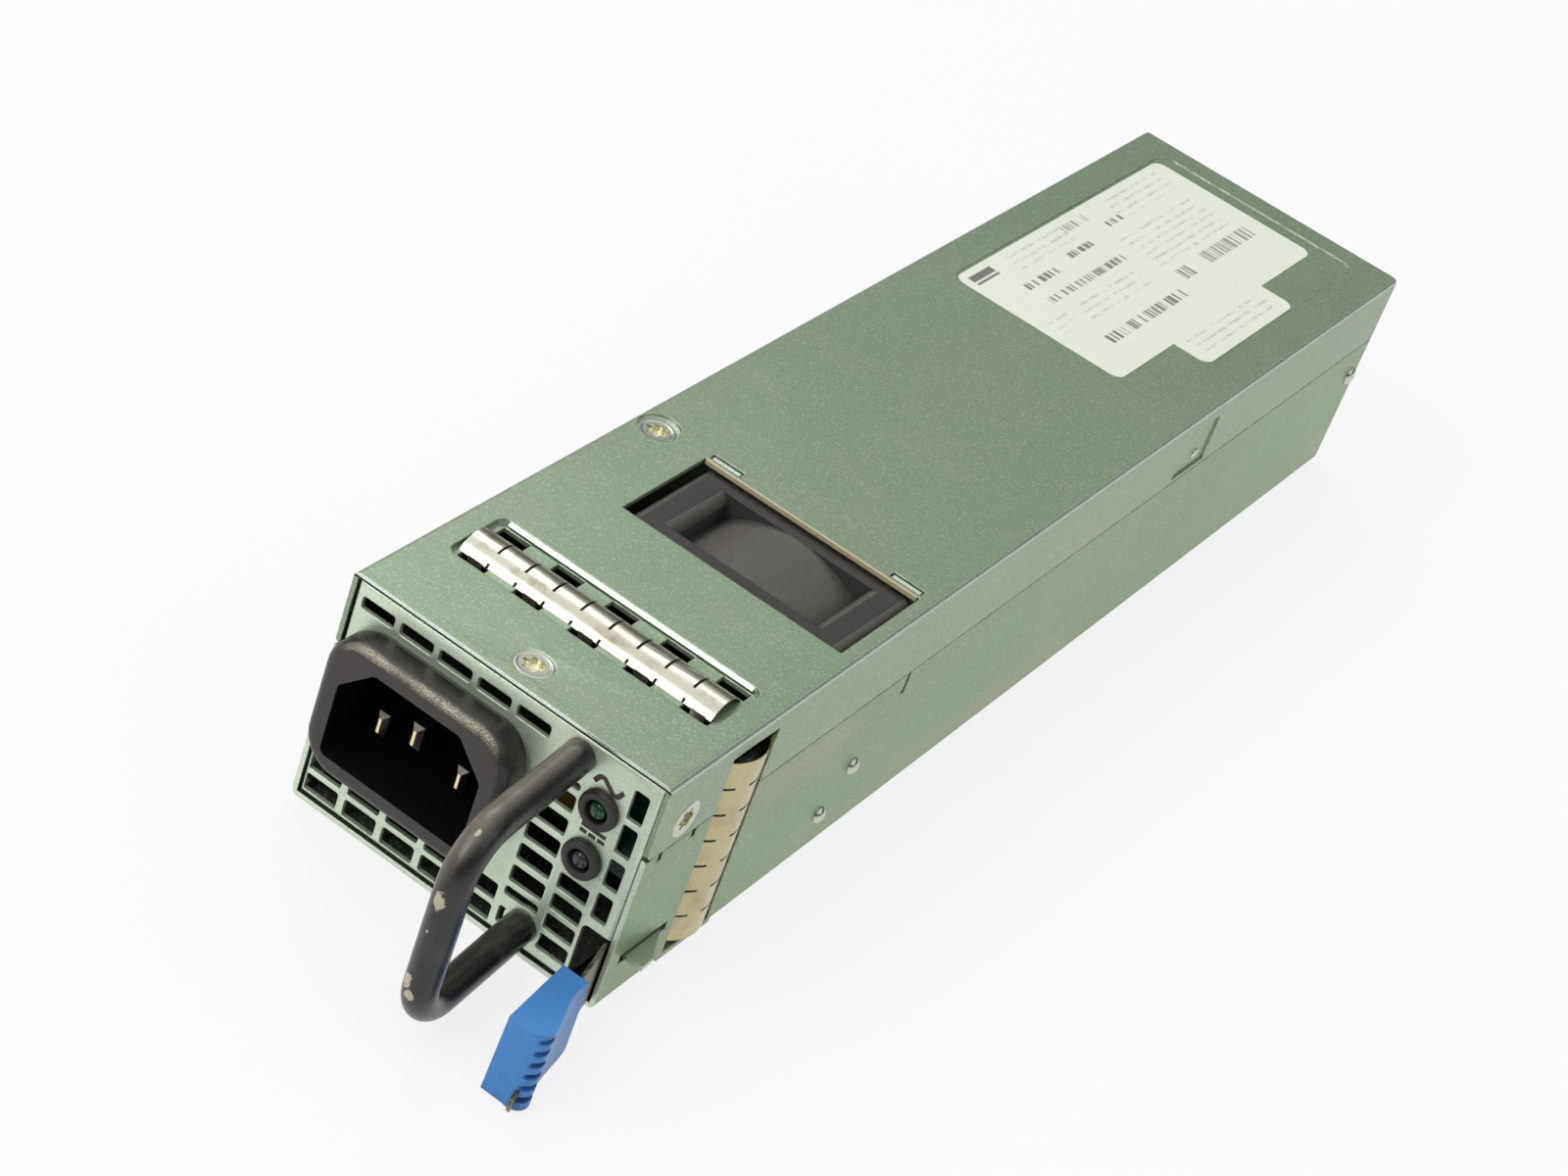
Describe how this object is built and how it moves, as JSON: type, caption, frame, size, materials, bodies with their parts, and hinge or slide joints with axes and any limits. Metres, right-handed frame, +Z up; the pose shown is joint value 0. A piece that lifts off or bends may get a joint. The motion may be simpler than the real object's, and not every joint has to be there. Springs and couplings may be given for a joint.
{
  "type": "hot swap server power supply",
  "caption": "Slim hot swap server power supply in a folded steel case with mains inlet, pull handle, sprung side latch, spring finger gaskets, cooling fan and rear output connector.",
  "frame": {"origin": "centre of the underside of the chassis tray", "axes": "+Z up, -Y towards the operator's end with the inlet and handle, +Y along the case to the output connector"},
  "size_m": [0.0612, 0.2577, 0.041],
  "materials": {
    "zinc_steel": "zinc plated, satin",
    "spring_steel": "satin",
    "gasket_metal": "tin plated, bright",
    "screw_metal": "zinc plated, bright",
    "black_plastic": "matte",
    "inlet_plastic": "satin",
    "blue_plastic": "satin",
    "handle_coat": "worn satin coat",
    "lens": "clear",
    "fan_plastic": "matte",
    "rubber": "matte",
    "board": "solder mask",
    "film": "smooth",
    "copper": "bare",
    "gold": "plated",
    "aluminium": "extruded",
    "ferrite": "matte",
    "tape": "smooth",
    "capacitor_sleeve": "shrink sleeve",
    "capacitor_box": "smooth",
    "silicone": "matte",
    "wire": "insulation",
    "magnet": "matte",
    "label_paper": "smooth"
  },
  "bodies": {
    "housing": {"chassis_tray": "zinc_steel", "top_cover": "zinc_steel", "front_panel": "zinc_steel", "rear_panel": "zinc_steel", "fan_bulkhead": "zinc_steel", "cover_screws": "screw_metal", "latch_rivets": "screw_metal", "rear_rivets": "screw_metal", "flange_rivets": "screw_metal", "handle_screws": "screw_metal", "board_screws": "screw_metal", "board_standoffs": "screw_metal", "top_gasket": "gasket_metal", "right_gasket": "gasket_metal", "left_gasket": "gasket_metal", "handle_bar": "handle_coat", "inlet_housing": "inlet_plastic", "inlet_blades": "gold", "led_bezels": "black_plastic", "led_lenses": "lens", "led_board": "board", "latch_spring_mount": "spring_steel", "fan_frame": "fan_plastic", "fan_bearings": "spring_steel", "fan_stator": "copper", "fan_mounts": "rubber", "output_connector": "black_plastic", "power_contacts": "gold", "signal_contacts": "gold", "main_board": "board", "filter_board": "board", "insulator_sheet": "film", "filter_choke": "ferrite", "filter_capacitors": "capacitor_box", "bulk_capacitor": "capacitor_sleeve", "capacitor_adhesive": "silicone", "boost_inductor": "tape", "primary_heatsink": "aluminium", "power_transistors": "black_plastic", "bridge_rectifier": "black_plastic", "transformer_core": "ferrite", "transformer_winding": "tape", "output_inductor": "copper", "output_capacitors": "capacitor_sleeve", "secondary_heatsink": "aluminium", "bus_bars": "copper", "control_card": "board", "inlet_leads": "wire", "fan_lead": "wire", "rating_label": "label_paper"},
    "fan_rotor": {"fan_impeller": "fan_plastic", "fan_magnet": "magnet", "fan_shaft": "spring_steel"},
    "latch": {"latch_spring_arm": "spring_steel", "latch_grip": "blue_plastic"}
  },
  "joints": [
    {"name": "fan_spin", "type": "hinge", "parent": "housing", "child": "fan_rotor", "pos_m": [0.00525, -0.0573, 0.0199], "axis": [0, 1, 0], "continuous": true},
    {"name": "latch_flex", "type": "hinge", "parent": "housing", "child": "latch", "pos_m": [0.02495, -0.06835, 0.0063], "axis": [0, 0, -1], "range_deg": [0, 4.2], "stiffness_Nm_per_rad": 3.5, "springref_deg": -1.72}
  ]
}
